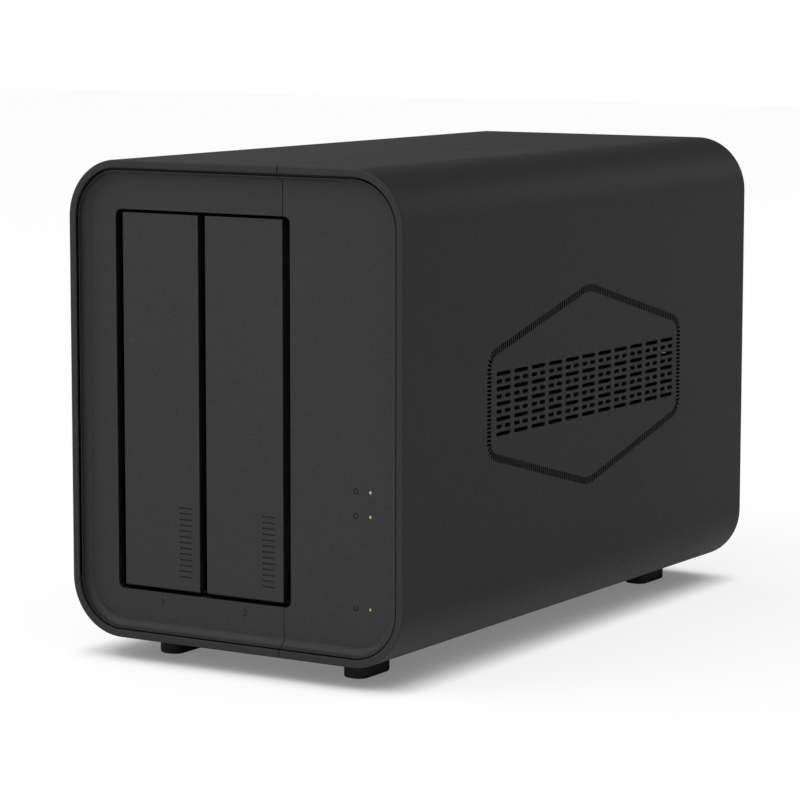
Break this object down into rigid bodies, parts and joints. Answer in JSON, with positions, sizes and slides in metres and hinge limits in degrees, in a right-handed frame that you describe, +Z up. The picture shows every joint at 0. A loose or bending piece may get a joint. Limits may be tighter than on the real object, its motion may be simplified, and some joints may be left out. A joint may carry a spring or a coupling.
{
  "type": "network attached storage",
  "caption": "Desktop network storage box with a rounded upright sleeve, inset front panel, pull-out drive trays with levers, side vents, rear ports and an exhaust fan.",
  "frame": {"origin": "on the desk under the centre of the body", "axes": "+Z up, the front with the drive trays faces -Y, +X is to the right seen from the front"},
  "size_m": [0.119, 0.222, 0.152],
  "materials": {
    "shell_plastic": "matt, fine spark-eroded grain",
    "bezel_plastic": "matt, fine spark-eroded grain",
    "inner_plastic": "satin",
    "foot_rubber": "matt",
    "cage_steel": "black powder coat",
    "bright_steel": "nickel plated",
    "screw_steel": "black zinc",
    "cast_aluminium": "as cast and anodised",
    "circuit_board": "solder mask",
    "light_guide": "clear, lit green"
  },
  "bodies": {
    "chassis": {"left_shell": "shell_plastic", "right_shell": "shell_plastic", "bay_bezel": "bezel_plastic", "indicator_bezel": "bezel_plastic", "rear_panel": "bezel_plastic", "light_guide": "light_guide", "indicator_board": "circuit_board", "backplane_board": "circuit_board", "main_board": "circuit_board", "foot_front_left": "foot_rubber", "foot_front_right": "foot_rubber", "foot_rear_left": "foot_rubber", "foot_rear_right": "foot_rubber", "rear_screw_1": "screw_steel", "rear_screw_2": "screw_steel", "rear_screw_3": "screw_steel", "rear_screw_4": "screw_steel", "fan_screw_1": "screw_steel", "fan_screw_2": "screw_steel", "fan_screw_3": "screw_steel", "fan_screw_4": "screw_steel", "board_screw_1": "screw_steel", "board_screw_2": "screw_steel", "drive_cage": "cage_steel", "bay_divider": "cage_steel", "bay_guide_lower": "inner_plastic", "bay_guide_upper": "inner_plastic", "sata_socket_1": "inner_plastic", "sata_socket_2": "inner_plastic", "dc_jack": "inner_plastic", "fan_frame": "inner_plastic", "fan_cable": "inner_plastic", "indicator_cable": "inner_plastic", "clock_battery": "bright_steel", "usb_port_upper": "bright_steel", "usb_port_lower": "bright_steel", "lan_port": "bright_steel", "heatsink": "cast_aluminium"},
    "tray_1": {"tray_1_frame": "inner_plastic", "tray_1_hinge_pin": "bright_steel", "tray_1_clip_upper": "inner_plastic", "tray_1_clip_lower": "inner_plastic", "drive_1_casting": "cast_aluminium", "drive_1_cover": "bright_steel", "drive_1_board": "circuit_board"},
    "tray_2": {"tray_2_frame": "inner_plastic", "tray_2_hinge_pin": "bright_steel", "tray_2_clip_upper": "inner_plastic", "tray_2_clip_lower": "inner_plastic", "drive_2_casting": "cast_aluminium", "drive_2_cover": "bright_steel", "drive_2_board": "circuit_board"},
    "lever_1": {"tray_1_lever": "bezel_plastic"},
    "lever_2": {"tray_2_lever": "bezel_plastic"},
    "latch_1": {"tray_1_latch": "inner_plastic"},
    "latch_2": {"tray_2_latch": "inner_plastic"},
    "rotor": {"fan_rotor": "inner_plastic"},
    "power": {"power_button": "inner_plastic"},
    "reset": {"reset_button": "inner_plastic"}
  },
  "joints": [
    {"name": "tray_1_slide", "type": "slide", "parent": "chassis", "child": "tray_1", "axis": [0, -1, 0], "range_m": [0, 0.175]},
    {"name": "tray_1_lever_hinge", "type": "hinge", "parent": "tray_1", "child": "lever_1", "pos_m": [-0.02775, -0.105, 0.026], "axis": [1, 0, 0], "range_deg": [-0.5, 35]},
    {"name": "tray_1_latch_press", "type": "slide", "parent": "tray_1", "child": "latch_1", "axis": [0, 1, 0], "range_m": [0, 0.002], "stiffness_N_per_m": 400},
    {"name": "tray_2_slide", "type": "slide", "parent": "chassis", "child": "tray_2", "axis": [0, -1, 0], "range_m": [0, 0.175]},
    {"name": "tray_2_lever_hinge", "type": "hinge", "parent": "tray_2", "child": "lever_2", "pos_m": [0.0024, -0.105, 0.026], "axis": [1, 0, 0], "range_deg": [-0.5, 35]},
    {"name": "tray_2_latch_press", "type": "slide", "parent": "tray_2", "child": "latch_2", "axis": [0, 1, 0], "range_m": [0, 0.002], "stiffness_N_per_m": 400},
    {"name": "fan_spin", "type": "hinge", "parent": "chassis", "child": "rotor", "pos_m": [-0.016, 0.0925, 0.07925], "axis": [0, 1, 0], "continuous": true},
    {"name": "power_button_press", "type": "slide", "parent": "chassis", "child": "power", "axis": [0, -1, 0], "range_m": [0, 0.0008], "stiffness_N_per_m": 1500},
    {"name": "reset_button_press", "type": "slide", "parent": "chassis", "child": "reset", "axis": [0, -1, 0], "range_m": [0, 0.0005], "stiffness_N_per_m": 1500}
  ]
}
